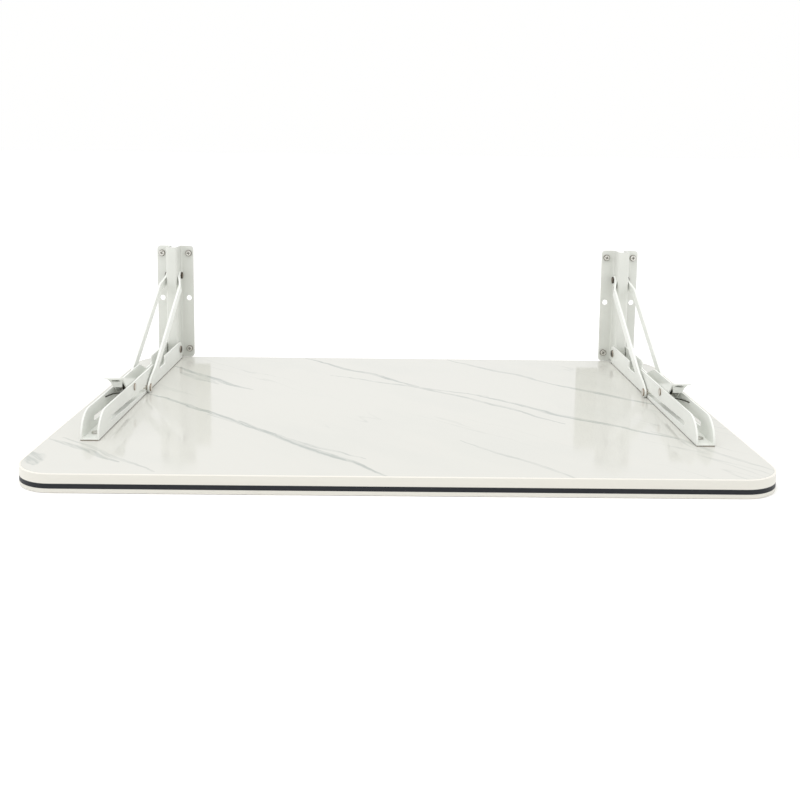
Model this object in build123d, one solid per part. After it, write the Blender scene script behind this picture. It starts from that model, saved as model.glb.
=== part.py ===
from build123d import *
import os
from math import acos, cos, degrees, hypot, radians, sin, sqrt, tan

# Wall-mounted folding desk, lying on its worktop with its two brackets standing up.
#
# The worktop face lies in the plane Z = 0, centred on the origin.  The wall is the plane
# Y = WALL_Y, and the worktop's underside, which carries the brackets, is Z = BOARD_T.
# Bracket parts are made about a bracket frame: X = 0 is the bracket's middle plane, Y = 0 the
# wall and Z = 0 the board's underside.  They are then placed at X = -BRACKET_X and +BRACKET_X.

# ---- worktop ----
BOARD_W = 600.0
BOARD_D = 400.0
BOARD_T = 15.0
CORNER_R = 33.5
WALL_Y = BOARD_D / 2
LAMINATE_T = 0.8
BAND_T = 1.5            # plastic edge band round the board
BAND_EDGE_R = 0.6
STRIPE_LOW = 3.3        # dark inlay in the band, measured from the worktop face
STRIPE_HIGH = 7.3
STRIPE_DEPTH = 0.7
GLUE_GAP = 0.05

# ---- bracket layout, in the bracket frame ----
BRACKET_X = 261.5
ARM_PIVOT = (-18.0, 12.5)       # Y, Z of the pin that the arm folds about
STRUT_TOP = (-9.0, 98.5)        # Y, Z of the pin that the struts swing on
STRUT_FOOT = (-165.0, 5.6)      # Y, Z of the sliding pin with the desk open
SLOT_END_Z = 9.5                # height of the sliding pin with the desk folded
FOLD_DEG = 88.0                 # the latch paddles reach the wall just past this
LATCH_PIVOT = (-210.0, 18.0)

# ---- wall plate, one pressing with a hat-shaped rib ----
PLATE_W = 42.0
PLATE_LOW = 0.3
PLATE_HIGH = 132.6
PLATE_T = 1.5
PLATE_CORNER_R = 4.0
HAT_W = 12.4
HAT_D = 22.0
HAT_LOW = 2.4
HAT_FRONT_R = 2.0
HAT_ROOT_R = 2.5
HOLE_SPACING = 31.0
HOLE_R = 3.0
SCREW_ROWS = (10.2, 124.0)
OPEN_HOLE_ROW = 70.9

# ---- arm, a channel open away from the board ----
ARM_W = 16.0
ARM_T = 1.5
ARM_FLOOR_REAR = -34.0
ARM_FRONT = -320.0
ARM_EAR_R = 8.5
ARM_WALL_Z = 23.0
ARM_BEND_R = 1.0
NOTCH_REAR = -90.0
NOTCH_FLOOR_Z = 12.5
NOTCH_FRONT = -112.0
NOTCH_RAMP_END = -138.0
NOSE_START = -298.0
SLOT_R = 2.3
SLOT_POCKET = (-171.0, 7.8)
SLOT_POCKET_R = 2.6
ARM_SCREW_ROWS = (-50.0, -112.0, -303.0)

# ---- struts ----
STRUT_W = 9.6
STRUT_T = 2.0
STRUT_TOP_X = 6.4               # inner face of the strut beside the hat
STRUT_MID_X = 10.4              # inner face along the straight length
STRUT_FOOT_X = 9.3              # inner face beside the sliding pin
TOP_JOGGLE = (8.0, 22.0)        # start and end of the upper joggle, from the top pin
FOOT_JOGGLE = (24.0, 10.0)      # start and end of the lower joggle, from the foot

# ---- pins and screws ----
PIN_R = 3.0
SLIDE_PIN_R = 2.0
SLIDE_COLLAR_R = 3.3
PIN_FIT = 0.05                  # radial running fit of every pin
PIVOT_HEAD_R = 4.2
STRUT_HEAD_R = 4.0
LATCH_PIN_R = 2.5
LATCH_HEAD_R = 3.5
HEAD_GAP = 0.15
WALL_SCREW_R = 2.25
WALL_SCREW_LENGTH = 20.0
WALL_SCREW_HEAD = (3.7, 2.2)    # radius, height
WALL_SCREW_NECK = (2.6, 1.9)    # radius, length of the plain neck inside the plate's hole
ARM_SCREW_R = 1.75
ARM_SCREW_LENGTH = 12.5
ARM_SCREW_HEAD = (3.5, 1.7)

# ---- latch lever and its spring ----
LEVER_W = 11.8
LEVER_T = 1.4
LEVER_WEB = ((-194, 22.0), (-240, 34.4), (-246, 36.0))      # Y, Z of its upper face
LEVER_LIP = ((-243, 35.2), (-246, 36.0), (-253.0, 37.4))
CHEEK_EDGE = ((-194, 21.6), (-240, 34.0), (-238, 30.5), (-226, 19.5), (-218, 13), (-203, 13), (-195, 16))
CHEEK_RADII = (6.0, 4.0, 4.0, 3.0)                          # at the last four corners
PADDLE_W = 16.0
PADDLE_WAIST_W = 10.6
PADDLE_FOOT_W = 8.0
PADDLE_FRONT = ((-250.0, 36.2), (-242.5, 31.5), (-239.0, 25.0))
PADDLE_SLOT = (7.5, 2.2)
PADDLE_SLOT_Z = 32.2
WIRE_R = 0.55
WIRE_BEND_R = 1.2
COIL_R = 3.6
COIL_PITCH = 1.25
COIL_HALF_TURNS = 9

SIDES = {"left": -1, "right": 1}


# ---------------------------------------------------------------- small helpers
def side_sheet(outline, low_x, high_x):
    """Extrude a Y-Z outline along X between two X values."""
    return extrude(Plane.YZ.offset(low_x) * outline, amount=high_x - low_x)


def rod_x(radius, low_x, high_x, centre):
    """A round bar along X, through the Y-Z point centre."""
    bar = Cylinder(radius, high_x - low_x, rotation=(0, 90, 0))
    return Pos((low_x + high_x) / 2, centre[0], centre[1]) * bar


def mirrored_pair(solid):
    """A solid and its mirror image about the bracket's middle plane."""
    return [solid, mirror(solid, about=Plane.YZ)]


def nearest_vertex(sketch, point):
    """The corner of a sketch that lies nearest to a 2-D point."""
    return sketch.vertices().sort_by(lambda v: hypot(v.X - point[0], v.Y - point[1]))[0]


def round_corners(sketch, corners):
    """Round the corners of a sketch: corners is a list of (point, radius)."""
    for point, radius in corners:
        sketch = fillet(nearest_vertex(sketch, point), radius)
    return sketch


def rivet(radius, half_grip, head_r, head_t, centre):
    """A pin along X with a domed head at each end."""
    shank = rod_x(radius, -half_grip, half_grip, centre)
    head = rod_x(head_r, half_grip, half_grip + head_t, centre)
    head = fillet(head.edges().sort_by(Axis.X)[-1], head_t * 0.6)
    return shank + mirrored_pair(head)


def pan_screw(radius, length, head, neck=(0.0, 0.0)):
    """A cross-recess pan-head screw along Z: head above Z = 0, point downwards."""
    head_r, head_t = head
    neck_r, neck_t = neck
    tip = 2 * radius
    shank_t = length - tip
    screw = Pos(0, 0, head_t / 2) * Cylinder(head_r, head_t)
    screw = fillet(screw.edges().sort_by(Axis.Z)[-1], head_t * 0.55)
    screw = screw + Pos(0, 0, -shank_t / 2) * Cylinder(radius, shank_t)
    screw = screw + Pos(0, 0, -length + tip / 2) * Cone(0.3, radius, tip)
    if neck_t:
        screw = screw + Pos(0, 0, -neck_t / 2) * Cylinder(neck_r, neck_t)
    recess = Pos(0, 0, head_t) * (Box(head_r, 0.9, head_t) + Box(0.9, head_r, head_t))
    return screw - recess


# ---------------------------------------------------------------- worktop
def board_outline(inset):
    """The worktop's rounded rectangle, moved in from the edge."""
    return RectangleRounded(BOARD_W - 2 * inset, BOARD_D - 2 * inset, CORNER_R - inset)


def board_layer(inset, low, high):
    """A slab of the worktop between two heights."""
    return Pos(0, 0, low) * extrude(board_outline(inset), amount=high - low)


def arm_screw_places():
    """Where the arm screws stand on the board, as (X, Y)."""
    return [(side * BRACKET_X, WALL_Y + row) for side in SIDES.values() for row in ARM_SCREW_ROWS]


def pilot_holes():
    """Holes for the arm screws in the board's underside."""
    depth = ARM_SCREW_LENGTH - ARM_T
    hole = Cylinder(ARM_SCREW_R + PIN_FIT, depth + 0.2)
    return [Pos(x, y, BOARD_T - depth / 2 + 0.1) * hole for x, y in arm_screw_places()]


def board_core():
    """Particle-board core."""
    return board_layer(BAND_T + GLUE_GAP, LAMINATE_T, BOARD_T - LAMINATE_T) - pilot_holes()


def face_laminate():
    """Decorative laminate on the worktop face, underneath as the desk lies here."""
    return board_layer(BAND_T + GLUE_GAP, 0, LAMINATE_T)


def back_laminate():
    """Decorative laminate on the underside, which the arms are screwed to."""
    return board_layer(BAND_T + GLUE_GAP, BOARD_T - LAMINATE_T, BOARD_T) - pilot_holes()


def edge_band():
    """White edge band with a groove for the dark stripe."""
    band = board_layer(0, 0, BOARD_T)
    rims = band.edges().group_by(Axis.Z)
    band = fillet(rims[0] + rims[-1], BAND_EDGE_R)
    groove = board_layer(-1, STRIPE_LOW, STRIPE_HIGH)
    groove = groove - board_layer(STRIPE_DEPTH, STRIPE_LOW, STRIPE_HIGH)
    return band - board_layer(BAND_T, 0, BOARD_T) - groove


def edge_stripe():
    """Dark inlay that fills the groove, a hair below the band's surface."""
    gap = GLUE_GAP
    ring = board_layer(gap, STRIPE_LOW + gap, STRIPE_HIGH - gap)
    return ring - board_layer(STRIPE_DEPTH - gap, STRIPE_LOW, STRIPE_HIGH)


# ---------------------------------------------------------------- wall plate
def plate_holes(rows, radius):
    """Round holes through the plate in pairs, one pair for each row."""
    drill = Cylinder(radius, 4 * PLATE_T, rotation=(90, 0, 0))
    return [Pos(x, -PLATE_T / 2, z) * drill for x in (-HOLE_SPACING / 2, HOLE_SPACING / 2) for z in rows]


def wall_plate():
    """Flat flanges with a hollow rib down the middle that carries both pivot pins."""
    height = PLATE_HIGH - PLATE_LOW
    outline = Pos(0, (PLATE_LOW + PLATE_HIGH) / 2) * RectangleRounded(PLATE_W, height, PLATE_CORNER_R)
    flange = extrude(Plane.XZ * outline, amount=PLATE_T)
    rib_height = PLATE_HIGH - HAT_LOW
    rib_z = (PLATE_HIGH + HAT_LOW) / 2
    rib = Pos(0, -HAT_D / 2, rib_z) * Box(HAT_W, HAT_D, rib_height)
    front = rib.edges().filter_by(Axis.Z).sort_by(Axis.Y)[:2]
    rib = fillet(front, HAT_FRONT_R)
    plate = flange + rib
    roots = plate.edges().filter_by(Axis.Z).filter_by(
        lambda e: abs(abs(e.center().X) - HAT_W / 2) < 0.01 and abs(e.center().Y + PLATE_T) < 0.01
    )
    plate = fillet(roots, HAT_ROOT_R)
    hollow = Box(HAT_W - 2 * PLATE_T, HAT_D - PLATE_T, rib_height + 2)
    hollow = Pos(0, -(HAT_D - PLATE_T) / 2, rib_z) * hollow
    hollow = fillet(hollow.edges().filter_by(Axis.Z).sort_by(Axis.Y)[:2], HAT_FRONT_R - PLATE_T + 0.3)
    plate = plate - hollow
    plate = plate - plate_holes(SCREW_ROWS + (OPEN_HOLE_ROW,), HOLE_R)
    for centre in (ARM_PIVOT, STRUT_TOP):
        plate = plate - rod_x(PIN_R + PIN_FIT, -HAT_W, HAT_W, centre)
    return plate


def wall_screws():
    """Four screws through the plate's corner holes, pointing into the wall."""
    screw = pan_screw(WALL_SCREW_R, WALL_SCREW_LENGTH, WALL_SCREW_HEAD, WALL_SCREW_NECK)
    screw = Rot(90, 0, 0) * screw
    places = [(x, z) for x in (-HOLE_SPACING / 2, HOLE_SPACING / 2) for z in SCREW_ROWS]
    return Compound([Pos(x, -PLATE_T, z) * screw for x, z in places])


# ---------------------------------------------------------------- folding geometry
def to_arm_frame(point, fold):
    """A fixed Y-Z point, seen from the arm folded up by an angle, as (reach, height).

    Reach runs forward along the arm from its pivot, and height away from the board.
    """
    reach = ARM_PIVOT[0] - point[0]
    height = point[1] - ARM_PIVOT[1]
    return (reach * cos(fold) + height * sin(fold), height * cos(fold) - reach * sin(fold))


def strut_length():
    """Distance between a strut's two pins."""
    return hypot(STRUT_TOP[0] - STRUT_FOOT[0], STRUT_TOP[1] - STRUT_FOOT[1])


def slot_end():
    """Y, Z of the sliding pin in the arm when the desk is folded."""
    top_reach, top_height = to_arm_frame(STRUT_TOP, radians(FOLD_DEG))
    height = SLOT_END_Z - ARM_PIVOT[1]
    reach = top_reach + sqrt(strut_length() ** 2 - (top_height - height) ** 2)
    return (ARM_PIVOT[0] - reach, SLOT_END_Z)


# ---------------------------------------------------------------- arm
def arm_wall_outline():
    """Side outline of the arm: round ear, notch for the struts, long edge and curved nose."""
    pivot_y, pivot_z = ARM_PIVOT
    ear_rear = pivot_y + ARM_EAR_R
    ear_top = pivot_z + ARM_EAR_R
    nose_r = NOSE_START - ARM_FRONT
    nose_mid = (NOSE_START - nose_r * sin(radians(45)), ARM_T + (ARM_WALL_Z - ARM_T) * cos(radians(45)))
    ear_mid = (pivot_y + ARM_EAR_R * cos(radians(45)), pivot_z + ARM_EAR_R * sin(radians(45)))
    outline = [
        Line((ear_rear, 0), (ear_rear, pivot_z)),
        ThreePointArc((ear_rear, pivot_z), ear_mid, (pivot_y, ear_top)),
        Polyline(
            (pivot_y, ear_top),
            (NOTCH_REAR, ear_top),
            (NOTCH_REAR, NOTCH_FLOOR_Z),
            (NOTCH_FRONT, NOTCH_FLOOR_Z),
            (NOTCH_RAMP_END, ARM_WALL_Z),
            (NOSE_START, ARM_WALL_Z),
        ),
        ThreePointArc((NOSE_START, ARM_WALL_Z), nose_mid, (ARM_FRONT, ARM_T)),
        Polyline((ARM_FRONT, ARM_T), (ARM_FRONT, 0), (ear_rear, 0)),
    ]
    corners = [
        ((NOTCH_REAR, ear_top), 2.0),
        ((NOTCH_REAR, NOTCH_FLOOR_Z), 2.0),
        ((NOTCH_FRONT, NOTCH_FLOOR_Z), 8.0),
        ((NOTCH_RAMP_END, ARM_WALL_Z), 12.0),
    ]
    return round_corners(make_face(outline), corners)


def slot_cut():
    """The slanted slot in both walls, with a small latching pocket above its rear end."""
    end = slot_end()
    run = hypot(end[0] - STRUT_FOOT[0], end[1] - STRUT_FOOT[1])
    slope = degrees(acos((STRUT_FOOT[0] - end[0]) / run))
    middle = ((end[0] + STRUT_FOOT[0]) / 2, (end[1] + STRUT_FOOT[1]) / 2)
    slot = Pos(*middle) * Rot(0, 0, -slope) * SlotCenterToCenter(run, 2 * SLOT_R)
    pocket = Pos(*SLOT_POCKET) * Circle(SLOT_POCKET_R)
    return side_sheet(slot + pocket, -ARM_W, ARM_W)


def arm():
    """U-channel screwed to the board, with its slots and pin holes."""
    outline = arm_wall_outline()
    half = ARM_W / 2
    walls = mirrored_pair(side_sheet(outline, half - ARM_T, half))
    length = ARM_FLOOR_REAR - ARM_FRONT
    floor = Pos(0, (ARM_FLOOR_REAR + ARM_FRONT) / 2, ARM_T / 2) * Box(ARM_W, length, ARM_T)
    channel = floor + walls
    bends = channel.edges().filter_by(Axis.Y).filter_by(
        lambda e: abs(abs(e.center().X) - half) < 0.01 and abs(e.center().Z) < 0.01
    )
    channel = fillet(bends, ARM_BEND_R)
    channel = channel - slot_cut()
    channel = channel - rod_x(PIN_R + PIN_FIT, -ARM_W, ARM_W, ARM_PIVOT)
    channel = channel - rod_x(LATCH_PIN_R + PIN_FIT, -ARM_W, ARM_W, LATCH_PIVOT)
    drill = Cylinder(ARM_SCREW_R + 0.3, 4 * ARM_T)
    return channel - [Pos(0, row, ARM_T / 2) * drill for row in ARM_SCREW_ROWS]


def arm_screws():
    """Screws through the channel floor into the board."""
    screw = pan_screw(ARM_SCREW_R, ARM_SCREW_LENGTH, ARM_SCREW_HEAD)
    return Compound([Pos(0, row, ARM_T) * screw for row in ARM_SCREW_ROWS])


# ---------------------------------------------------------------- struts and their pins
def strut_frame():
    """Plane at the top pin: its X runs down the strut, and its Y is the bracket's X."""
    run = strut_length()
    down_y = (STRUT_FOOT[0] - STRUT_TOP[0]) / run
    down_z = (STRUT_FOOT[1] - STRUT_TOP[1]) / run
    return Plane(origin=(0, *STRUT_TOP), x_dir=(0, down_y, down_z), z_dir=(0, down_z, -down_y))


def strut():
    """One flat bar, stepped outwards below its top eye and back in above its foot."""
    run = strut_length()
    half = STRUT_W / 2
    inner = [
        (-half, STRUT_TOP_X),
        (TOP_JOGGLE[0], STRUT_TOP_X),
        (TOP_JOGGLE[1], STRUT_MID_X),
        (run - FOOT_JOGGLE[0], STRUT_MID_X),
        (run - FOOT_JOGGLE[1], STRUT_FOOT_X),
        (run + half, STRUT_FOOT_X),
    ]
    outer = [(x, y + STRUT_T) for x, y in reversed(inner)]
    section = make_face(Polyline(*inner, *outer, close=True))
    section = round_corners(section, [(point, 5.0) for point in inner[1:-1] + outer[1:-1]])
    bar = extrude(section, amount=half, both=True)
    outline = Pos(run / 2, 0) * SlotCenterToCenter(run, STRUT_W)
    bar = bar & extrude(Plane.XZ * outline, amount=-2 * STRUT_MID_X)
    bar = bar - Cylinder(PIN_R + PIN_FIT, 60, rotation=(90, 0, 0))
    bar = bar - Pos(run, 0, 0) * Cylinder(LATCH_PIN_R + PIN_FIT, 60, rotation=(90, 0, 0))
    return strut_frame() * bar


def strut_rivets():
    """Headed rivets in the struts' feet, one on each side of the arm."""
    inner = STRUT_FOOT_X + 0.05
    outer = STRUT_FOOT_X + STRUT_T
    shank = rod_x(LATCH_PIN_R, inner, outer, STRUT_FOOT)
    head = rod_x(STRUT_HEAD_R, outer, outer + 1.2, STRUT_FOOT)
    head = fillet(head.edges().sort_by(Axis.X)[-1], 0.7)
    return Compound(mirrored_pair(shank + head))


def strut_top_pin():
    """Pin through the rib that both struts swing on."""
    return rivet(PIN_R, STRUT_TOP_X + STRUT_T + HEAD_GAP, STRUT_HEAD_R, 1.4, STRUT_TOP)


def arm_pivot_pin():
    """Pin through the rib that the arm folds about."""
    return rivet(PIN_R, ARM_W / 2 + HEAD_GAP, PIVOT_HEAD_R, 1.3, ARM_PIVOT)


def slide_pin():
    """Cross pin that runs along the arm's slots, with a collar outside each wall."""
    end = STRUT_FOOT_X - 0.1
    collar = rod_x(SLIDE_COLLAR_R, ARM_W / 2 + 0.1, end, STRUT_FOOT)
    return rod_x(SLIDE_PIN_R, -end, end, STRUT_FOOT) + mirrored_pair(collar)


# ---------------------------------------------------------------- latch
def bent_strip(points, thickness):
    """Side outline of a strip of sheet: a line of (Y, Z) points, thickened downwards."""
    return make_face(Polyline(*points, *[(y, z - thickness) for y, z in reversed(points)], close=True))


def lever_cheek():
    """Side outline of the lever's cheeks, round the pivot and up to the paddle."""
    cheek = make_face(Polyline(*CHEEK_EDGE, close=True))
    return round_corners(cheek, list(zip(CHEEK_EDGE[-4:], CHEEK_RADII)))


def paddle_taper():
    """Front outline of the paddle: wide at the lip, and narrower all the way to its foot."""
    half = PADDLE_W / 2
    waist = PADDLE_WAIST_W / 2
    foot = PADDLE_FOOT_W / 2
    right = [(half, 40), (half, 36.0), (waist, 30.0), (foot, 25)]
    left = [(-x, z) for x, z in reversed(right)]
    return make_face(Polyline(*right, *left, close=True))


def paddle_face():
    """Curved finger plate below the lip, narrower towards its foot, with an oval slot."""
    top, middle, foot = PADDLE_FRONT
    back = [(y + LEVER_T, z - 0.2) for y, z in PADDLE_FRONT]
    outline = [
        ThreePointArc(top, middle, foot),
        Line(foot, back[2]),
        ThreePointArc(back[2], back[1], back[0]),
        Line(back[0], top),
    ]
    plate = side_sheet(make_face(outline), -PADDLE_W / 2, PADDLE_W / 2)
    plate = plate & extrude(Plane.XZ * paddle_taper(), amount=300)
    slot = Plane.XZ * Pos(0, PADDLE_SLOT_Z) * SlotOverall(*PADDLE_SLOT)
    return plate - extrude(slot, amount=300)


def latch_lever():
    """Pressed release lever: sloping web, two cheeks, and a paddle with a wide lip."""
    half = LEVER_W / 2
    web = side_sheet(bent_strip(LEVER_WEB, LEVER_T), -half, half)
    lip = side_sheet(bent_strip(LEVER_LIP, LEVER_T), -PADDLE_W / 2, PADDLE_W / 2)
    lip = fillet(lip.edges().filter_by(Axis.Z, tolerance=25).sort_by(Axis.Y)[:2], 1.5)
    cheeks = mirrored_pair(side_sheet(lever_cheek(), half - LEVER_T, half))
    lever = web + lip + cheeks + paddle_face()
    return lever - rod_x(LATCH_PIN_R + PIN_FIT, -ARM_W, ARM_W, LATCH_PIVOT)


def latch_pin():
    """Rivet that the lever turns on, through both walls of the arm."""
    return rivet(LATCH_PIN_R, ARM_W / 2 + 0.1, LATCH_HEAD_R, 0.8, LATCH_PIVOT)


def straight_wire(start, end):
    """Round wire from one point to another."""
    run = end - start
    return extrude(Plane(start, z_dir=run) * Circle(WIRE_R), amount=run.length)


def wire_arc(start, heading, centre, turn):
    """Round wire bent about a centre: it starts along its heading and turns by an angle."""
    section = Plane(start, z_dir=heading) * Circle(WIRE_R)
    return revolve(section, Axis(centre, (start - centre).cross(heading)), turn)


def bent_wire(points):
    """Pieces of round wire along straight runs, with a small bend at every corner."""
    corners = [Vector(*point) for point in points]
    start = corners[0]
    pieces = []
    for before, corner, after in zip(corners, corners[1:], corners[2:]):
        heading = (corner - before).normalized()
        leaving = (after - corner).normalized()
        turn = heading.get_angle(leaving)
        setback = WIRE_BEND_R * tan(radians(turn) / 2)
        bend_start = corner - heading * setback
        inward = (leaving - heading * leaving.dot(heading)).normalized()
        pieces.append(straight_wire(start, bend_start))
        pieces.append(wire_arc(bend_start, heading, bend_start + inward * WIRE_BEND_R, turn))
        start = corner + leaving * setback
    return pieces + [straight_wire(start, corners[-1])]


def coil_half_turn(index):
    """Half a turn of the coil: even ones rise behind the pin, odd ones come down in front."""
    side = 1 if index % 2 == 0 else -1
    pivot_y, pivot_z = LATCH_PIVOT
    x = (index - COIL_HALF_TURNS / 2) * COIL_PITCH / 2
    start = Vector(x, pivot_y, pivot_z - side * COIL_R)
    end = Vector(x + COIL_PITCH / 2, pivot_y, pivot_z + side * COIL_R)
    return wire_arc(start, Vector(0, side, 0), (start + end) / 2, 180)


def latch_spring():
    """Torsion spring: a coil on the latch pin, a leg along the outer wall, one under the web."""
    edge = COIL_HALF_TURNS * COIL_PITCH / 4
    pivot_y, pivot_z = LATCH_PIVOT
    wall_x = ARM_W / 2 - ARM_T - WIRE_R - 0.05
    anchored = bent_wire([
        (-edge, pivot_y, pivot_z - COIL_R),
        (-edge, pivot_y - 10, pivot_z - COIL_R),
        (-wall_x, pivot_y - 22, pivot_z - 1.2),
        (-wall_x, pivot_y - 44, pivot_z + 2.2),
    ])
    lifting = bent_wire([
        (edge, pivot_y, pivot_z + COIL_R),
        (edge, pivot_y - 4.5, pivot_z + COIL_R),
        (edge, pivot_y - 11, pivot_z + 9),
    ])
    coil = [coil_half_turn(index) for index in range(COIL_HALF_TURNS)]
    return coil[0].fuse(*coil[1:], *anchored, *lifting)


# ---------------------------------------------------------------- assembly
BOARD_PARTS = {
    "board_core": board_core,
    "face_laminate": face_laminate,
    "back_laminate": back_laminate,
    "edge_band": edge_band,
    "edge_stripe": edge_stripe,
}

BRACKET_PARTS = {
    "wall_plate": wall_plate,
    "wall_screws": wall_screws,
    "arm_pivot_pin": arm_pivot_pin,
    "strut_top_pin": strut_top_pin,
    "arm": arm,
    "arm_screws": arm_screws,
    "strut_rivets": strut_rivets,
    "slide_pin": slide_pin,
    "latch_lever": latch_lever,
    "latch_pin": latch_pin,
    "latch_spring": latch_spring,
}


def placed_on(side, shape):
    """Put a bracket part on the left or the right bracket: the left one is as made."""
    sign = SIDES[side]
    if sign > 0:
        shape = mirror(shape, about=Plane.YZ)
    return Pos(sign * BRACKET_X, WALL_Y, BOARD_T) * shape


def build():
    """Every node of the desk, by name."""
    nodes = {name: make() for name, make in BOARD_PARTS.items()}
    outer_strut = mirror(strut(), about=Plane.YZ)
    inner_strut = strut()
    for side in SIDES:
        for name, make in BRACKET_PARTS.items():
            nodes[f"{side}_{name}"] = placed_on(side, make())
        nodes[f"{side}_strut_inner"] = placed_on(side, inner_strut)
        nodes[f"{side}_strut_outer"] = placed_on(side, outer_strut)
    return nodes


os.makedirs("parts", exist_ok=True)
for node_name, solid in build().items():
    export_step(solid, f"parts/{node_name}.step")
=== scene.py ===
import math

import bpy
from mathutils import Matrix, Vector


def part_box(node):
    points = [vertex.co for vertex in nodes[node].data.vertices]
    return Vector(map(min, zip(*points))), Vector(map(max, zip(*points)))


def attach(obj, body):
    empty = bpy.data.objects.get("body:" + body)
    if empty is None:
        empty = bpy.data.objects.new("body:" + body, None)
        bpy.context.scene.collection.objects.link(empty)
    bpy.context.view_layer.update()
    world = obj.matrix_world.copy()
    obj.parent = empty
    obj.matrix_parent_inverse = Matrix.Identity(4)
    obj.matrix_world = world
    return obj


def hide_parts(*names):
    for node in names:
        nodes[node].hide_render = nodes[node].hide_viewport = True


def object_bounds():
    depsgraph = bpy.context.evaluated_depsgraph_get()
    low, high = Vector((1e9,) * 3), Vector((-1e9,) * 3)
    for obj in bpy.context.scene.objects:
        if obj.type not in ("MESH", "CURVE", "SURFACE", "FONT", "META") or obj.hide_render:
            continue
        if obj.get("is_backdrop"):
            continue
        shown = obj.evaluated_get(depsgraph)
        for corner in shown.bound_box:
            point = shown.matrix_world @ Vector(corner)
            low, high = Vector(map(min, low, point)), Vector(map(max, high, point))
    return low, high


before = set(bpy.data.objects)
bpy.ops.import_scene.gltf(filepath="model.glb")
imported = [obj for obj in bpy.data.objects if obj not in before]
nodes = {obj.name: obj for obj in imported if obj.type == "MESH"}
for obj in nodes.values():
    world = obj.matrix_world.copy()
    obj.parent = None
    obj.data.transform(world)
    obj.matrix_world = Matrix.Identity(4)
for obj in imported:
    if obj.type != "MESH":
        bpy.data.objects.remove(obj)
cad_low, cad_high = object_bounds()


# ---------------------------------------------------------------- worktop faces
# High-pressure laminate with a printed white marble, glued to both sides of the board.  It is
# glossy, with grey-green veins that all run one way across the board, and the print is broken
# into fine strands.  The two sheets have the same make and different stretches of the pattern.
LAMINATE_WHITE = (0.650, 0.645, 0.602, 1)
LAMINATE_SHADE = (0.585, 0.597, 0.562, 1)
VEIN_GREY = (0.335, 0.366, 0.344, 1)
GLOSS = (0.06, 0.10)
FAINT_SHARE = 0.30
HAZE_SHARE = 0.22
LEAST_STRAND = 0.42


def new_group(name, inputs, outputs):
    """A shader node group with the named sockets, and its input and output nodes."""
    group = bpy.data.node_groups.new(name, "ShaderNodeTree")
    for socket, kind, value in inputs:
        made = group.interface.new_socket(socket, in_out="INPUT", socket_type=kind)
        made.default_value = value
    for socket, kind in outputs:
        group.interface.new_socket(socket, in_out="OUTPUT", socket_type=kind)
    return group, group.nodes.new("NodeGroupInput"), group.nodes.new("NodeGroupOutput")


def add_node(tree, kind, inputs=None, **settings):
    """A shader node with its settings, and its inputs given as values or as sockets to link."""
    node = tree.nodes.new(kind)
    for key, value in settings.items():
        setattr(node, key, value)
    for key, value in (inputs or {}).items():
        if isinstance(value, bpy.types.NodeSocket):
            tree.links.new(value, node.inputs[key])
        else:
            node.inputs[key].default_value = value
    return node


def sums(tree, operation, *values):
    """One Math node's result."""
    return add_node(tree, "ShaderNodeMath", dict(enumerate(values)), operation=operation).outputs[0]


def vectors(tree, operation, *values, output="Vector"):
    """One Vector Math node's result."""
    node = add_node(tree, "ShaderNodeVectorMath", dict(enumerate(values)), operation=operation)
    return node.outputs[output]


def fade(tree, value, low, high, to_low=0.0, to_high=1.0):
    """A value carried smoothly from one range to another."""
    ranges = {"Value": value, "From Min": low, "From Max": high,
              "To Min": to_low, "To Max": to_high}
    node = add_node(tree, "ShaderNodeMapRange", ranges, interpolation_type="SMOOTHSTEP")
    return node.outputs["Result"]


def cloud(tree, place, scale, detail=3.0, roughness=0.5):
    """Soft noise over the surface."""
    inputs = {"Vector": place, "Scale": scale, "Detail": detail, "Roughness": roughness}
    return add_node(tree, "ShaderNodeTexNoise", inputs)


def blend_colours(tree, share, first, second):
    """The first colour, going to the second as share goes to 1."""
    node = add_node(tree, "ShaderNodeMix", {"Factor": share}, data_type="RGBA")
    for index, value in ((6, first), (7, second)):
        if isinstance(value, bpy.types.NodeSocket):
            tree.links.new(value, node.inputs[index])
        else:
            node.inputs[index].default_value = value
    return node.outputs[2]


def new_material(name, **surface):
    """A material whose shader takes constant values straight on its own sockets."""
    material = bpy.data.materials.new(name)
    material.use_nodes = True
    tree = material.node_tree
    shader = tree.nodes["Principled BSDF"]
    for socket, value in surface.items():
        shader.inputs[socket.replace("_", " ")].default_value = value
    place = tree.nodes.new("ShaderNodeTexCoord").outputs["Object"]
    return material, tree, shader, place


def bumped(tree, height, strength, distance):
    """A normal from a height."""
    inputs = {"Height": height, "Strength": strength, "Distance": distance}
    return add_node(tree, "ShaderNodeBump", inputs).outputs["Normal"]


def paint(node, material):
    """Gives a CAD node this material alone."""
    node.data.materials.clear()
    node.data.materials.append(material)


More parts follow.
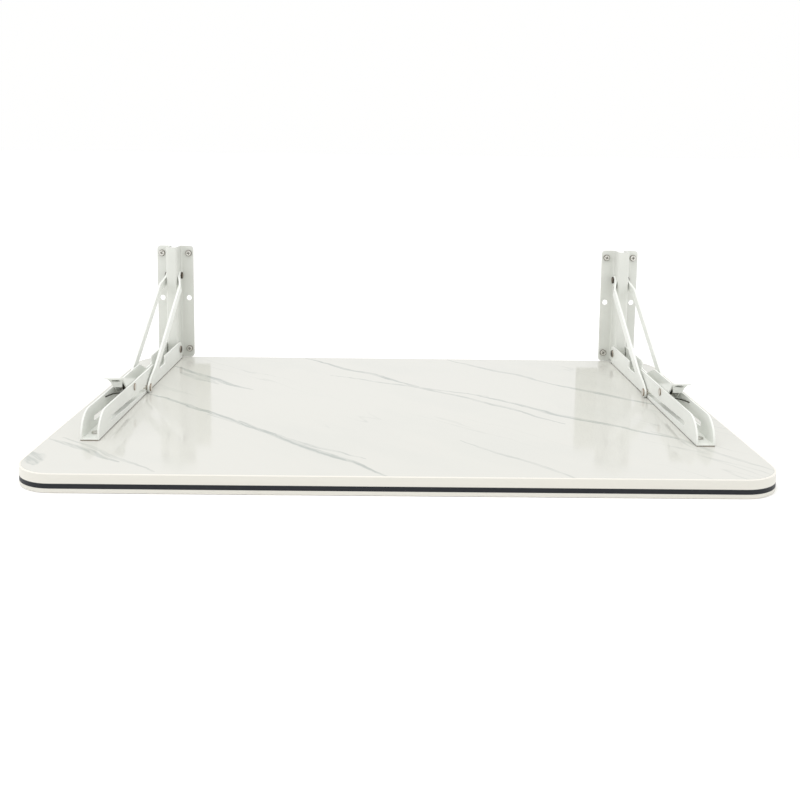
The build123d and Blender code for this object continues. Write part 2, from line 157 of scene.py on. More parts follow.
def vein_group():
    """One vein: a wandering streak from Start to End, thin at its ends."""
    group, given, result = new_group(
        "marble vein",
        [("Place", "NodeSocketVector", (0, 0, 0)), ("Start", "NodeSocketVector", (0, 0, 0)),
         ("End", "NodeSocketVector", (1, 0, 0)), ("Width", "NodeSocketFloat", 0.004),
         ("Strength", "NodeSocketFloat", 1.0)],
        [("Mask", "NodeSocketFloat")])
    run = vectors(group, "SUBTRACT", given.outputs["End"], given.outputs["Start"])
    reach = vectors(group, "SUBTRACT", given.outputs["Place"], given.outputs["Start"])
    along = vectors(group, "DOT_PRODUCT", reach, run, output="Value")
    whole = vectors(group, "DOT_PRODUCT", run, run, output="Value")
    share = add_node(group, "ShaderNodeMath", {0: along, 1: whole},
                     operation="DIVIDE", use_clamp=True).outputs[0]
    scaled = add_node(group, "ShaderNodeVectorMath", {0: run, "Scale": share}, operation="SCALE")
    away = vectors(group, "DISTANCE", reach, scaled.outputs["Vector"], output="Value")
    arch = sums(group, "MULTIPLY", share, sums(group, "SUBTRACT", 1.0, share))
    ends = sums(group, "MULTIPLY", arch, 4.0)
    width = sums(group, "MULTIPLY", given.outputs["Width"], sums(group, "ADD", 0.5, ends))
    edge = sums(group, "SUBTRACT", 1.0, sums(group, "DIVIDE", away, width))
    mask = fade(group, edge, 0.0, 0.6)
    mask = sums(group, "MULTIPLY", mask, given.outputs["Strength"])
    group.links.new(mask, result.inputs["Mask"])
    return group


def strand_group():
    """Fine broken strands that run along the veins, and the drift that bends them."""
    middle = (0.5, 0.5, 0.5)
    broad_drift, small_drift = 0.026, 0.0042
    group, given, result = new_group(
        "marble strands",
        [("Place", "NodeSocketVector", (0, 0, 0)), ("Turn", "NodeSocketFloat", math.radians(45)),
         ("Offset", "NodeSocketVector", (0, 0, 0))],
        [("Drifted", "NodeSocketVector"), ("Strands", "NodeSocketFloat"),
         ("Haze", "NodeSocketFloat"), ("Faint veins", "NodeSocketFloat")])
    moved = vectors(group, "ADD", given.outputs["Place"], given.outputs["Offset"])
    broad = vectors(group, "SUBTRACT", cloud(group, moved, 9.0, 2.0).outputs["Color"], middle)
    small = vectors(group, "SUBTRACT", cloud(group, moved, 70.0, 3.0).outputs["Color"], middle)
    broad = vectors(group, "MULTIPLY", broad, (broad_drift, broad_drift, 0.0))
    small = vectors(group, "MULTIPLY", small, (small_drift, small_drift, 0.0))
    drifted = vectors(group, "ADD", given.outputs["Place"], vectors(group, "ADD", broad, small))
    level = vectors(group, "MULTIPLY", drifted, (1.0, 1.0, 0.0))
    group.links.new(level, result.inputs["Drifted"])
    turned = add_node(group, "ShaderNodeVectorRotate",
                      {"Vector": vectors(group, "ADD", drifted, given.outputs["Offset"]),
                       "Angle": given.outputs["Turn"]}, rotation_type="Z_AXIS").outputs["Vector"]
    long_way = vectors(group, "MULTIPLY", turned, (0.10, 1.0, 1.0))
    fibres = cloud(group, long_way, 330.0, 4.0, 0.62).outputs["Fac"]
    group.links.new(fade(group, fibres, 0.40, 0.60), result.inputs["Strands"])
    haze = cloud(group, vectors(group, "MULTIPLY", turned, (0.35, 1.0, 1.0)), 26.0, 3.0)
    group.links.new(fade(group, haze.outputs["Fac"], 0.45, 0.72), result.inputs["Haze"])
    bands = cloud(group, vectors(group, "MULTIPLY", turned, (0.12, 1.0, 1.0)), 22.0, 2.0)
    ridge = sums(group, "ABSOLUTE", sums(group, "SUBTRACT", bands.outputs["Fac"], 0.5))
    faint = fade(group, ridge, 0.010, 0.0)
    where = fade(group, cloud(group, moved, 5.0, 1.0).outputs["Fac"], 0.50, 0.66)
    group.links.new(sums(group, "MULTIPLY", faint, where), result.inputs["Faint veins"])
    return group


VEIN = vein_group()
STRANDS = strand_group()


def marble(name, veins, offset):
    """Glossy laminate with a printed marble: veins are (start, end, half width, strength)."""
    material, tree, shader, place = new_material(name, Roughness=0.08, IOR=1.52)
    strands = add_node(tree, "ShaderNodeGroup", node_tree=STRANDS)
    tree.links.new(place, strands.inputs["Place"])
    strands.inputs["Offset"].default_value = offset
    total = sums(tree, "MULTIPLY", strands.outputs["Faint veins"], FAINT_SHARE)
    for start, end, width, strength in veins:
        vein = add_node(tree, "ShaderNodeGroup", node_tree=VEIN)
        tree.links.new(strands.outputs["Drifted"], vein.inputs["Place"])
        vein.inputs["Start"].default_value = (*start, 0)
        vein.inputs["End"].default_value = (*end, 0)
        vein.inputs["Width"].default_value = width
        vein.inputs["Strength"].default_value = strength
        total = sums(tree, "MAXIMUM", total, vein.outputs["Mask"])
    strand = fade(tree, strands.outputs["Strands"], 0.0, 1.0, LEAST_STRAND, 1.0)
    broken = sums(tree, "MULTIPLY", total, strand)
    haze = sums(tree, "MULTIPLY", strands.outputs["Haze"], HAZE_SHARE)
    ground = blend_colours(tree, haze, LAMINATE_WHITE, LAMINATE_SHADE)
    tree.links.new(blend_colours(tree, broken, ground, VEIN_GREY), shader.inputs["Base Color"])
    wiped = cloud(tree, place, 14.0, 3.0).outputs["Fac"]
    tree.links.new(fade(tree, wiped, 0.3, 0.7, *GLOSS), shader.inputs["Roughness"])
    ripple = cloud(tree, place, 240.0, 2.0).outputs["Fac"]
    tree.links.new(bumped(tree, ripple, 0.12, 0.0001), shader.inputs["Normal"])
    return material


UNDERSIDE_VEINS = [
    ((-0.110, 0.196), (0.024, 0.070), 0.0030, 0.80),
    ((0.010, 0.080), (0.158, -0.056), 0.0026, 0.60),
    ((-0.072, 0.112), (0.090, 0.036), 0.0022, 0.55),
    ((0.070, 0.046), (0.244, -0.106), 0.0028, 0.75),
    ((0.058, 0.198), (0.176, 0.072), 0.0026, 0.60),
    ((0.160, 0.088), (0.262, 0.004), 0.0030, 0.70),
    ((-0.250, 0.146), (-0.150, 0.050), 0.0034, 0.85),
    ((-0.238, 0.120), (-0.186, 0.072), 0.0046, 0.45),
    ((-0.250, 0.030), (-0.120, -0.090), 0.0026, 0.80),
    ((-0.150, -0.058), (-0.006, -0.200), 0.0028, 0.80),
    ((-0.180, -0.042), (-0.030, -0.158), 0.0020, 0.50),
    ((0.054, -0.112), (0.140, -0.202), 0.0018, 0.45),
    ((-0.300, -0.112), (-0.222, -0.176), 0.0030, 0.55),
    ((-0.290, -0.108), (-0.190, -0.198), 0.0020, 0.45),
    ((-0.300, -0.150), (-0.286, -0.178), 0.0070, 0.60),
    ((0.226, -0.082), (0.300, -0.174), 0.0022, 0.45),
]
FACE_VEINS = [
    ((-0.280, 0.180), (-0.060, -0.030), 0.0032, 0.80),
    ((-0.100, 0.020), (0.060, -0.140), 0.0026, 0.65),
    ((-0.180, 0.190), (0.040, 0.010), 0.0022, 0.55),
    ((0.020, 0.190), (0.270, -0.060), 0.0034, 0.80),
    ((0.100, 0.180), (0.290, 0.020), 0.0020, 0.50),
    ((-0.290, -0.040), (-0.150, -0.180), 0.0028, 0.70),
    ((0.080, -0.090), (0.190, -0.190), 0.0024, 0.55),
    ((-0.060, -0.070), (0.030, -0.190), 0.0020, 0.45),
]
paint(nodes["back_laminate"], marble("marble laminate underside", UNDERSIDE_VEINS, (0.0, 0.0, 0.0)))
paint(nodes["face_laminate"], marble("marble laminate face", FACE_VEINS, (1.7, 0.6, 0.0)))


# ---------------------------------------------------------------- worktop core
# Particle board between the laminates: pressed wood chips in resin.  It only shows where the
# arm screws go in.
CHIP_BROWN = (0.42, 0.27, 0.14, 1)
CHIP_STRAW = (0.66, 0.50, 0.30, 1)

material, tree, shader, place = new_material("pressed particle board", Roughness=0.85)
chips = add_node(tree, "ShaderNodeTexVoronoi", {"Vector": place, "Scale": 420.0})
tone = add_node(tree, "ShaderNodeSeparateColor", {"Color": chips.outputs["Color"]}).outputs["Red"]
tree.links.new(blend_colours(tree, tone, CHIP_BROWN, CHIP_STRAW), shader.inputs["Base Color"])
tree.links.new(bumped(tree, chips.outputs["Distance"], 0.5, 0.0006), shader.inputs["Normal"])
paint(nodes["board_core"], material)


# ---------------------------------------------------------------- edge band and its stripe
# Satin white plastic banding, ironed on round the board, with a dark stripe let into it.  Where
# the trimmer rounded its rims, a thin cream line along each rim is a painted highlight.
BAND_WHITE = (0.665, 0.648, 0.590, 1)
BAND_MOTTLE = (0.620, 0.610, 0.550, 1)
BAND_RIM_HIGHLIGHT = (0.800, 0.775, 0.710, 1)
STRIPE_DARK = (0.0120, 0.0130, 0.0160, 1)
STRIPE_SCUFF = (0.026, 0.028, 0.033, 1)
RIM_DEPTH = 0.0007

band_low, band_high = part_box("edge_band")
material, tree, shader, place = new_material("white edge banding", Roughness=0.36)
height = add_node(tree, "ShaderNodeSeparateXYZ", {"Vector": place}).outputs["Z"]
# painted highlight: a thin cream line along the band's top and bottom rims
upper = fade(tree, height, band_high.z - RIM_DEPTH, band_high.z - RIM_DEPTH / 3)
lower = fade(tree, height, band_low.z + RIM_DEPTH, band_low.z + RIM_DEPTH / 3)
mottle = cloud(tree, place, 35.0, 3.0).outputs["Fac"]
plastic = blend_colours(tree, fade(tree, mottle, 0.35, 0.7, 0.0, 0.12), BAND_WHITE, BAND_MOTTLE)
tree.links.new(blend_colours(tree, sums(tree, "MAXIMUM", upper, lower), plastic, BAND_RIM_HIGHLIGHT),
               shader.inputs["Base Color"])
streaks = cloud(tree, vectors(tree, "MULTIPLY", place, (1.0, 1.0, 14.0)), 160.0, 3.0).outputs["Fac"]
tree.links.new(fade(tree, streaks, 0.3, 0.7, 0.30, 0.44), shader.inputs["Roughness"])
tree.links.new(bumped(tree, streaks, 0.25, 0.00012), shader.inputs["Normal"])
paint(nodes["edge_band"], material)

material, tree, shader, place = new_material("dark edge stripe", Roughness=0.5, IOR=1.25)
streaks = cloud(tree, vectors(tree, "MULTIPLY", place, (1.0, 1.0, 9.0)), 210.0, 3.0).outputs["Fac"]
tree.links.new(blend_colours(tree, streaks, STRIPE_DARK, STRIPE_SCUFF), shader.inputs["Base Color"])
tree.links.new(fade(tree, streaks, 0.3, 0.7, 0.36, 0.52), shader.inputs["Roughness"])
tree.links.new(bumped(tree, streaks, 0.3, 0.00015), shader.inputs["Normal"])
paint(nodes["edge_stripe"], material)


# ---------------------------------------------------------------- wall plates, arms and struts
# Sheet steel, punched and bent, then powder coated in a white with a little green in it.  The
# coat has a fine orange-peel skin.  Its lighter colour along the cut edges is a painted highlight,
# and a dark brown line where an arm lies on the board is a painted contact shadow.
POWDER_WHITE = (0.825, 0.840, 0.800, 1)
# painted highlight: the coat's colour along its cut edges
POWDER_EDGE_HIGHLIGHT = (0.910, 0.915, 0.890, 1)
# painted shade: the wall plates get a darker copy of the same coat and of its edge highlight
PLATE_WHITE_IN_SHADE = (0.710, 0.722, 0.678, 1)
PLATE_EDGE_HIGHLIGHT_IN_SHADE = (0.820, 0.828, 0.795, 1)
# painted contact shadow: a dark brown line where an arm lies on the board
CONTACT_SHADOW_BROWN = (0.150, 0.120, 0.085, 1)
SPECK_GREY = (0.450, 0.450, 0.400, 1)
SPECK_SHARE = 0.35
EDGE_REACH = 0.0006
CONTACT_SHADOW_HEIGHT = (0.0002, 0.0006)
CONTACT_SHADOW_WANDER = 0.0007
SIDES = ("left", "right")


def powder_group():
    """The skin of a powder coat: its fine ripple, a slow change of tone, and rare specks."""
    group, given, result = new_group(
        "powder coat skin",
        [("Place", "NodeSocketVector", (0, 0, 0)), ("Ripple size", "NodeSocketFloat", 0.0016),
         ("Tone size", "NodeSocketFloat", 0.06)],
        [("Height", "NodeSocketFloat"), ("Tone", "NodeSocketFloat"), ("Specks", "NodeSocketFloat")])
    place = given.outputs["Place"]
    ripple_size, tone_size = given.outputs["Ripple size"], given.outputs["Tone size"]
    ripple = cloud(group, place, sums(group, "DIVIDE", 1.0, ripple_size), 2.0)
    waves = cloud(group, place, sums(group, "DIVIDE", 0.35, ripple_size), 2.0)
    height = sums(group, "ADD", ripple.outputs["Fac"], waves.outputs["Fac"])
    group.links.new(height, result.inputs["Height"])
    tone = cloud(group, place, sums(group, "DIVIDE", 1.0, tone_size), 3.0)
    group.links.new(fade(group, tone.outputs["Fac"], 0.35, 0.68), result.inputs["Tone"])
    dust = cloud(group, place, 1500.0, 1.0).outputs["Fac"]
    group.links.new(fade(group, dust, 0.72, 0.80), result.inputs["Specks"])
    return group


def edge_group():
    """A mask that is 1 along sharp edges and 0 on flat faces."""
    group, given, result = new_group(
        "cut edges", [("Reach", "NodeSocketFloat", 0.0005)], [("Mask", "NodeSocketFloat")])
    rounded = add_node(group, "ShaderNodeBevel", {"Radius": given.outputs["Reach"]}, samples=4)
    flat = add_node(group, "ShaderNodeNewGeometry").outputs["Normal"]
    same = vectors(group, "DOT_PRODUCT", rounded.outputs["Normal"], flat, output="Value")
    group.links.new(fade(group, same, 0.985, 0.80), result.inputs["Mask"])
    return group


POWDER = powder_group()
EDGES = edge_group()


def powder_coat(name, white, edge_highlight, edge_highlight_share, ripple, contact=None):
    """White powder coat, with a painted highlight along its edges and an optional painted shadow
    line.
    """
    material, tree, shader, place = new_material(name, Roughness=0.34, IOR=1.5)
    skin = add_node(tree, "ShaderNodeGroup", node_tree=POWDER)
    tree.links.new(place, skin.inputs["Place"])
    skin.inputs["Ripple size"].default_value = ripple
    edges = add_node(tree, "ShaderNodeGroup", node_tree=EDGES)
    edges.inputs["Reach"].default_value = EDGE_REACH
    darker = tuple(c * 0.94 for c in white[:3]) + (1,)
    coat = blend_colours(tree, skin.outputs["Tone"], white, darker)
    specks = sums(tree, "MULTIPLY", skin.outputs["Specks"], SPECK_SHARE)
    coat = blend_colours(tree, specks, coat, SPECK_GREY)
    # painted highlight along the sharp edges
    edge_highlight_mask = sums(tree, "MULTIPLY", edges.outputs["Mask"], edge_highlight_share)
    coat = blend_colours(tree, edge_highlight_mask, coat, edge_highlight)
    # painted contact shadow: the coat turns dark brown just above the board's face
    if contact is not None:
        height = add_node(tree, "ShaderNodeSeparateXYZ", {"Vector": place}).outputs["Z"]
        waver = cloud(tree, place, 60.0, 3.0).outputs["Fac"]
        waver = sums(tree, "MULTIPLY", waver, CONTACT_SHADOW_WANDER)
        above = sums(tree, "SUBTRACT", height, sums(tree, "ADD", waver, contact))
        full, clear = CONTACT_SHADOW_HEIGHT
        coat = blend_colours(tree, fade(tree, above, clear, full), coat, CONTACT_SHADOW_BROWN)
    tree.links.new(coat, shader.inputs["Base Color"])
    satin = fade(tree, skin.outputs["Tone"], 0.0, 1.0, 0.30, 0.40)
    tree.links.new(satin, shader.inputs["Roughness"])
    tree.links.new(bumped(tree, skin.outputs["Height"], 0.22, 0.00018), shader.inputs["Normal"])
    return material


board_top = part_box("left_arm")[0].z
# the plates' coat is the arms' coat in painted shade
plate_coat = powder_coat("powder coat on the wall plates", PLATE_WHITE_IN_SHADE, PLATE_EDGE_HIGHLIGHT_IN_SHADE, 0.8, 0.0017)
arm_coat = powder_coat("powder coat on the arms", POWDER_WHITE, POWDER_EDGE_HIGHLIGHT, 0.9, 0.0015,
                       contact=board_top)
strut_coat = powder_coat("powder coat on the struts", POWDER_WHITE, POWDER_EDGE_HIGHLIGHT, 0.9, 0.0013)
for side in SIDES:
    paint(nodes[f"{side}_wall_plate"], plate_coat)
    paint(nodes[f"{side}_arm"], arm_coat)
    paint(nodes[f"{side}_strut_inner"], strut_coat)
    paint(nodes[f"{side}_strut_outer"], strut_coat)


# ---------------------------------------------------------------- screws
# Zinc-plated self-tapping screws with pan heads and cross recesses: four hold each plate to the
# wall, and three hold each arm to the board.  The thread is rolled on, up to a short plain neck.
THREAD_PITCH = 0.0018
THREAD_STEPS = 9            # rings of points in one turn of thread
CORE_SHARE = 0.74           # the thread's root, as a share of the screw's radius
RECESS_SHARE = 0.62         # the recess's depth, as a share of the head's height
SEGMENTS = 48
WALL_HEAD = (0.0037, 0.0022)    # radius, height
WALL_SHANK = (0.00225, 0.020)   # radius, length
WALL_NECK = (0.0026, 0.0019)    # radius, length
ARM_HEAD = (0.0035, 0.0017)
ARM_SHANK = (0.00175, 0.0125)
ARM_NECK = (0.00175, 0.0016)
REAR_ARM_SCREWS_APART = 0.062
ZINC = (0.700, 0.690, 0.650, 1)
# dark pits, and the colour of the painted shade in hollows and round the heads' rims
ZINC_DARK_PITS_AND_SHADE = (0.170, 0.150, 0.120, 1)
ZINC_PALE_PITS_AND_SHADE = (0.520, 0.510, 0.480, 1)


def ring_points(radius, z, lift=None):
    """A ring of points round Z, with its radius or its height changed by lift."""
    points = []
    for step in range(SEGMENTS):
        angle = 2 * math.pi * step / SEGMENTS
        r, h = (radius, z) if lift is None else lift(radius, z, angle)
        points.append(Vector((r * math.cos(angle), r * math.sin(angle), h)))
    return points


def turned_mesh(rings, reaches):
    """Faces that join rings of points, closed at both ends, and each point's share of the head."""
    points = [Vector((0, 0, sum(p.z for p in rings[0]) / len(rings[0])))]
    for ring in rings:
        points.extend(ring)
    points.append(Vector((0, 0, sum(p.z for p in rings[-1]) / len(rings[-1]))))
    count = len(rings[0])
    faces = []
    for step in range(count):
        after = (step + 1) % count
        faces.append((0, 1 + step, 1 + after))
        for row in range(len(rings) - 1):
            base = 1 + row * count
            faces.append((base + step, base + count + step, base + count + after, base + after))
        last = 1 + (len(rings) - 1) * count
        faces.append((last + after, last + step, len(points) - 1))
    shares = [0.0] + [reach for reach in reaches for step in range(count)] + [1.0]
    return points, faces, shares


def screw_shape(shank, head, neck):
    """Points and faces of one screw along Z, its head above Z = 0 and its point below."""
    radius, length = shank
    head_r, head_t = head
    neck_r, neck_t = neck
    recess = head_t * RECESS_SHARE

    def sunk(r, z, angle):
        x, y = abs(r * math.cos(angle)), abs(r * math.sin(angle))
        arm = min(x, y) / (head_r * 0.13) - 1
        tip = max(x, y) / (head_r * 0.58) - 1
        depth = max(0.0, min(1.0, -2.2 * max(arm, tip)))
        return r, z - recess * depth * depth * (3 - 2 * depth)

    def threaded(r, z, angle):
        turn = (-z / THREAD_PITCH + angle / (2 * math.pi)) % 1.0
        ridge = max(0.0, 1 - abs(turn - 0.5) * 3.2)
        fade_in = min(1.0, max(0.0, (-z - neck_t) / (THREAD_PITCH * 1.5)))
        left = (length + z) / (2 * radius)
        taper = min(1.0, 0.08 + 0.92 * max(0.0, left))
        core = r * CORE_SHARE * taper
        crest = min(r * min(1.0, left * 0.9 + 0.1), core + r * (1 - CORE_SHARE))
        return core + (crest - core) * ridge * fade_in, z

    rings = []
    reaches = [0.04 * step for step in range(1, 25)]
    for share in reaches:
        dome = head_t * (0.62 + 0.38 * math.sqrt(max(0.0, 1 - share ** 4)))
        rings.append(ring_points(head_r * share, dome, sunk))
    rings.append(ring_points(head_r, head_t * 0.45))
    rings.append(ring_points(head_r, head_t * 0.04))
    rings.append(ring_points(head_r * 0.99, 0.0))
    rings.append(ring_points(neck_r, 0.0))
    rings.append(ring_points(neck_r, -neck_t))
    steps = int((length - neck_t) / (THREAD_PITCH / THREAD_STEPS))
    for step in range(steps):
        z = -neck_t - (length - neck_t) * (step + 0.01) / steps
        rings.append(ring_points(radius, z, threaded))
    return turned_mesh(rings, reaches + [1.0] * (len(rings) - len(reaches)))


def screw_set(name, shape, places, turn):
    """One mesh with a screw at each place, turned so that its point goes into the work."""
    points, faces, shares = shape
    all_points, all_faces = [], []
    for number, place_of in enumerate(places):
        spun = Matrix.Rotation(0.7 + 1.9 * number, 4, "Z")
        start = len(all_points)
        all_points.extend(Vector(place_of) + turn @ (spun @ point) for point in points)
        all_faces.extend(tuple(start + index for index in face) for face in faces)
    mesh = bpy.data.meshes.new(name)
    mesh.from_pydata(all_points, [], all_faces)
    mesh.polygons.foreach_set("use_smooth", [True] * len(mesh.polygons))
    reach = mesh.attributes.new("head reach", "FLOAT", "POINT")
    reach.data.foreach_set("value", shares * len(places))
    mesh.update()
    made = bpy.data.objects.new(name, mesh)
    bpy.context.scene.collection.objects.link(made)
    return made


def zinc_plate(name, dark):
    """Zinc plate: bright on top of the head, with dark pits, and painted shade in hollows, round
    the head's rim and down the shank.
    """
    material, tree, shader, place = new_material(name, Metallic=1.0, Roughness=0.34)
    reach = add_node(tree, "ShaderNodeAttribute", attribute_name="head reach").outputs["Fac"]
    brushed = cloud(tree, place, 900.0, 3.0).outputs["Fac"]
    pits = fade(tree, brushed, 0.52, 0.72, 0.0, 0.5)
    hollow = add_node(tree, "ShaderNodeAmbientOcclusion", {"Distance": 0.0016},
                      samples=6, only_local=True)
    # painted shade in the hollows, from ambient occlusion
    hollow_shade = fade(tree, hollow.outputs["AO"], 0.70, 0.30)
    uneven = sums(tree, "ADD", reach, sums(tree, "MULTIPLY", brushed, 0.2))
    # painted shade round the head's rim and down the shank
    rim = fade(tree, uneven, 0.86, 1.06)
    shade = sums(tree, "MAXIMUM", sums(tree, "MAXIMUM", pits, hollow_shade), rim)
    tree.links.new(blend_colours(tree, shade, ZINC, dark), shader.inputs["Base Color"])
    tree.links.new(fade(tree, brushed, 0.3, 0.7, 0.26, 0.44), shader.inputs["Roughness"])
    tree.links.new(bumped(tree, brushed, 0.2, 0.0001), shader.inputs["Normal"])
    return material


wall_zinc = zinc_plate("zinc plated wall screws", ZINC_DARK_PITS_AND_SHADE)
arm_zinc = zinc_plate("zinc plated arm screws", ZINC_PALE_PITS_AND_SHADE)
wall_screw = screw_shape(WALL_SHANK, WALL_HEAD, WALL_NECK)
arm_screw = screw_shape(ARM_SHANK, ARM_HEAD, ARM_NECK)
INTO_WALL = Matrix.Rotation(math.pi / 2, 4, "X")
for side in SIDES:
    low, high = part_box(f"{side}_wall_screws")
    head_r, head_t = WALL_HEAD
    front = low.y + head_t
    xs = (low.x + head_r, high.x - head_r)
    zs = (low.z + head_r, high.z - head_r)
    screws = screw_set(f"{side}_threaded_wall_screws", wall_screw,
                       [(x, front, z) for x in xs for z in zs], INTO_WALL)
    paint(screws, wall_zinc)
    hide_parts(f"{side}_wall_screws")
    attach(screws, "wall_plates")

    low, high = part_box(f"{side}_arm_screws")
    head_r, head_t = ARM_HEAD
    middle = (low.x + high.x) / 2
    rear = high.y - head_r
    ys = (low.y + head_r, rear - REAR_ARM_SCREWS_APART, rear)
    screws = screw_set(f"{side}_threaded_arm_screws", arm_screw,
                       [(middle, y, high.z - head_t) for y in ys], Matrix.Identity(4))
    paint(screws, arm_zinc)
    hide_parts(f"{side}_arm_screws")
    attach(screws, "worktop")


# ---------------------------------------------------------------- pivot pins and rivets
# Steel rivets, headed over after the parts are coated.  The latch and strut foot rivets are bright
# in the middle with a brown ring round the rim.  The arm pivots and strut tops are dark from use.
RIVET_BRIGHT = (0.700, 0.680, 0.630, 1)
RIVET_DULL = (0.300, 0.270, 0.230, 1)
RIVET_BROWN = (0.250, 0.185, 0.135, 1)
RIVET_DARK = (0.060, 0.048, 0.038, 1)
RING_FADE = 0.22            # how far the ring takes to close in, as a share of the head's radius


def ring_group():
    """How far a point is from a pin's axis along X, as a share of the head's radius."""
    group, given, result = new_group(
        "distance from a pin",
        [("Place", "NodeSocketVector", (0, 0, 0)), ("Axis", "NodeSocketVector", (0, 0, 0)),
         ("Head", "NodeSocketFloat", 0.004)],
        [("Share", "NodeSocketFloat")])
    flat = vectors(group, "MULTIPLY", given.outputs["Place"], (0.0, 1.0, 1.0))
    away = vectors(group, "DISTANCE", flat, given.outputs["Axis"], output="Value")
    group.links.new(sums(group, "DIVIDE", away, given.outputs["Head"]), result.inputs["Share"])
    return group


PIN_RING = ring_group()


def rivet_steel(name, node_name, core, ring, ring_from):
    """Steel for one pin, with its middle and its ring in their own tones."""
    low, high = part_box(node_name)
    material, tree, shader, place = new_material(name, Metallic=1.0, Roughness=0.38)
    pin = add_node(tree, "ShaderNodeGroup", node_tree=PIN_RING)
    tree.links.new(place, pin.inputs["Place"])
    pin.inputs["Axis"].default_value = (0, (low.y + high.y) / 2, (low.z + high.z) / 2)
    pin.inputs["Head"].default_value = (high.z - low.z) / 2
    ripple = cloud(tree, place, 1100.0, 3.0).outputs["Fac"]
    wobble = sums(tree, "MULTIPLY", sums(tree, "SUBTRACT", ripple, 0.5), 0.25)
    share = sums(tree, "ADD", pin.outputs["Share"], wobble)
    ringed = fade(tree, share, ring_from, ring_from + RING_FADE)
    tree.links.new(blend_colours(tree, ringed, core, ring), shader.inputs["Base Color"])
    tree.links.new(fade(tree, ripple, 0.3, 0.7, 0.30, 0.50), shader.inputs["Roughness"])
    dimple = fade(tree, pin.outputs["Share"], 0.18, 0.34)
    dimple = sums(tree, "ADD", dimple, sums(tree, "MULTIPLY", ripple, 0.3))
    tree.links.new(bumped(tree, dimple, 0.5, 0.0004), shader.inputs["Normal"])
    return material


for side in SIDES:
    for node, core, ring, ring_from in (
        ("arm_pivot_pin", RIVET_DARK, RIVET_DULL, 0.70),
        ("strut_top_pin", RIVET_BROWN, RIVET_DARK, 0.45),
        ("latch_pin", RIVET_BRIGHT, RIVET_BROWN, 0.80),
        ("slide_pin", RIVET_BRIGHT, RIVET_BROWN, 0.80),
        ("strut_rivets", RIVET_BRIGHT, RIVET_BROWN, 0.80),
    ):
        name = f"{side}_{node}"
        steel = rivet_steel(name.replace("_", " ") + " steel", name, core, ring, ring_from)
        paint(nodes[name], steel)


# ---------------------------------------------------------------- latch levers and springs
# The lever is a small pressing with the same coat as the arm and a finer skin.  The spring is
# oil-tempered wire, left dark.
WIRE_BLACK = (0.035, 0.034, 0.030, 1)
WIRE_BROWN = (0.115, 0.105, 0.090, 1)

lever_coat = powder_coat("powder coat on the latch levers", POWDER_WHITE, POWDER_EDGE_HIGHLIGHT, 1.0, 0.0011)
material, tree, shader, place = new_material(
    "oil-tempered spring wire", Metallic=1.0, Roughness=0.42)
scale = cloud(tree, place, 1400.0, 3.0).outputs["Fac"]
tree.links.new(blend_colours(tree, scale, WIRE_BLACK, WIRE_BROWN), shader.inputs["Base Color"])
tree.links.new(fade(tree, scale, 0.3, 0.7, 0.32, 0.55), shader.inputs["Roughness"])
tree.links.new(bumped(tree, scale, 0.3, 0.0001), shader.inputs["Normal"])
for side in SIDES:
    paint(nodes[f"{side}_latch_lever"], lever_coat)
    paint(nodes[f"{side}_latch_spring"], material)


# ---------------------------------------------------------------- floor, light and camera
# The desk lies on a plain white floor in an even, soft light, a little stronger from above and
# from the left.  Two grey cards behind it are hidden from the camera and show in what is glossy.
# The camera stands low before the worktop's front edge.
FLOOR_REACH = 40.0
FLOOR_GAP = 0.0004
FLAG_GREY = (0.62, 0.63, 0.57, 1)
FLAG_Y = 0.235
FLAG_LOW, FLAG_HIGH = 0.032, 0.136
CAMERA_PITCH, CAMERA_YAW, CAMERA_ROLL = 0.1167, 0.0097, 0.0125
CAMERA_PLACE = (-0.0081, -0.8767, 0.2631)
CAMERA_LENS = 41.39
CAMERA_SHIFT = -0.1786


def flat_sheet(name, corners):
    """A sheet with four corners."""
    mesh = bpy.data.meshes.new(name)
    mesh.from_pydata(corners, [], [(0, 1, 2, 3)])
    sheet = bpy.data.objects.new(name, mesh)
    bpy.context.scene.collection.objects.link(sheet)
    return sheet


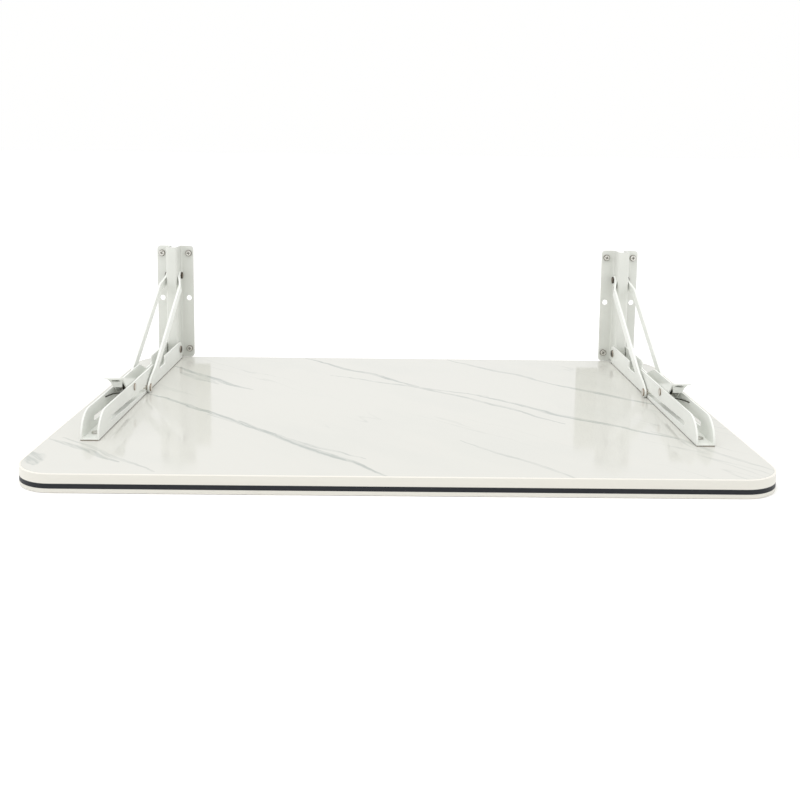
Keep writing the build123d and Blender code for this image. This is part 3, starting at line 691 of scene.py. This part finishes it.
floor = flat_sheet("studio_floor", [(FLOOR_REACH * x, FLOOR_REACH * y, 0)
                                    for x, y in ((-1, -1), (1, -1), (1, 1), (-1, 1))])
floor.location.z = cad_low.z - FLOOR_GAP
paper = new_material(
    "matt white paper", Roughness=0.9, Base_Color=(1, 1, 1, 1), Emission_Color=(1, 1, 1, 1),
    Emission_Strength=0.05, Specular_IOR_Level=0.1)[0]
paint(floor, paper)
floor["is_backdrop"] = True

world = bpy.data.worlds.new("soft studio")
world.use_nodes = True
background = world.node_tree.nodes["Background"]
background.inputs["Color"].default_value = (1.0, 1.0, 0.995, 1)
background.inputs["Strength"].default_value = 1.0
bpy.context.scene.world = world


def soft_lamp(name, at, towards, size, power):
    """A square soft box that shines from one point towards another."""
    lamp = bpy.data.lights.new(name, "AREA")
    lamp.shape = "SQUARE"
    lamp.size = size
    lamp.energy = power
    made = bpy.data.objects.new(name, lamp)
    made.location = at
    made.rotation_euler = (Vector(towards) - Vector(at)).to_track_quat("-Z", "Y").to_euler()
    bpy.context.scene.collection.objects.link(made)


soft_lamp("overhead soft box", (-0.2, -0.5, 2.4), (0.0, 0.0, 0.0), 0.8, 14.0)
soft_lamp("left soft box", (-2.2, -0.9, 0.8), (0.0, 0.1, 0.05), 1.2, 6.0)
soft_lamp("right soft box", (2.2, -1.2, 0.8), (0.0, 0.1, 0.05), 1.2, 3.5)


def flag(name, low_x, high_x):
    """A grey card behind the desk that only shows in glossy surfaces."""
    card = flat_sheet(name, [(low_x, FLAG_Y, FLAG_LOW), (high_x, FLAG_Y, FLAG_LOW),
                             (high_x, FLAG_Y, FLAG_HIGH), (low_x, FLAG_Y, FLAG_HIGH)])
    card.visible_camera = False
    card.visible_diffuse = False
    card.visible_shadow = False
    card.visible_transmission = False
    paint(card, flag_cloth)
    card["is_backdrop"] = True


flag_cloth = new_material("grey flag cloth", Roughness=0.9, Base_Color=FLAG_GREY)[0]
flag("left_flag", -0.255, -0.229)
flag("right_flag", 0.222, 0.256)

camera_data = bpy.data.cameras.new("product camera")
camera_data.sensor_width = 36.0
camera_data.lens = CAMERA_LENS
camera_data.shift_y = CAMERA_SHIFT
camera = bpy.data.objects.new("product camera", camera_data)
camera.matrix_world = (
    Matrix.Translation(CAMERA_PLACE)
    @ Matrix.Rotation(-CAMERA_YAW, 4, "Z")
    @ Matrix.Rotation(math.pi / 2 - CAMERA_PITCH, 4, "X")
    @ Matrix.Rotation(CAMERA_ROLL, 4, "Z")
)
bpy.context.scene.collection.objects.link(camera)
bpy.context.scene.camera = camera
bpy.context.scene.view_settings.view_transform = "Standard"


# ---------------------------------------------------------------- sizes
low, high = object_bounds()
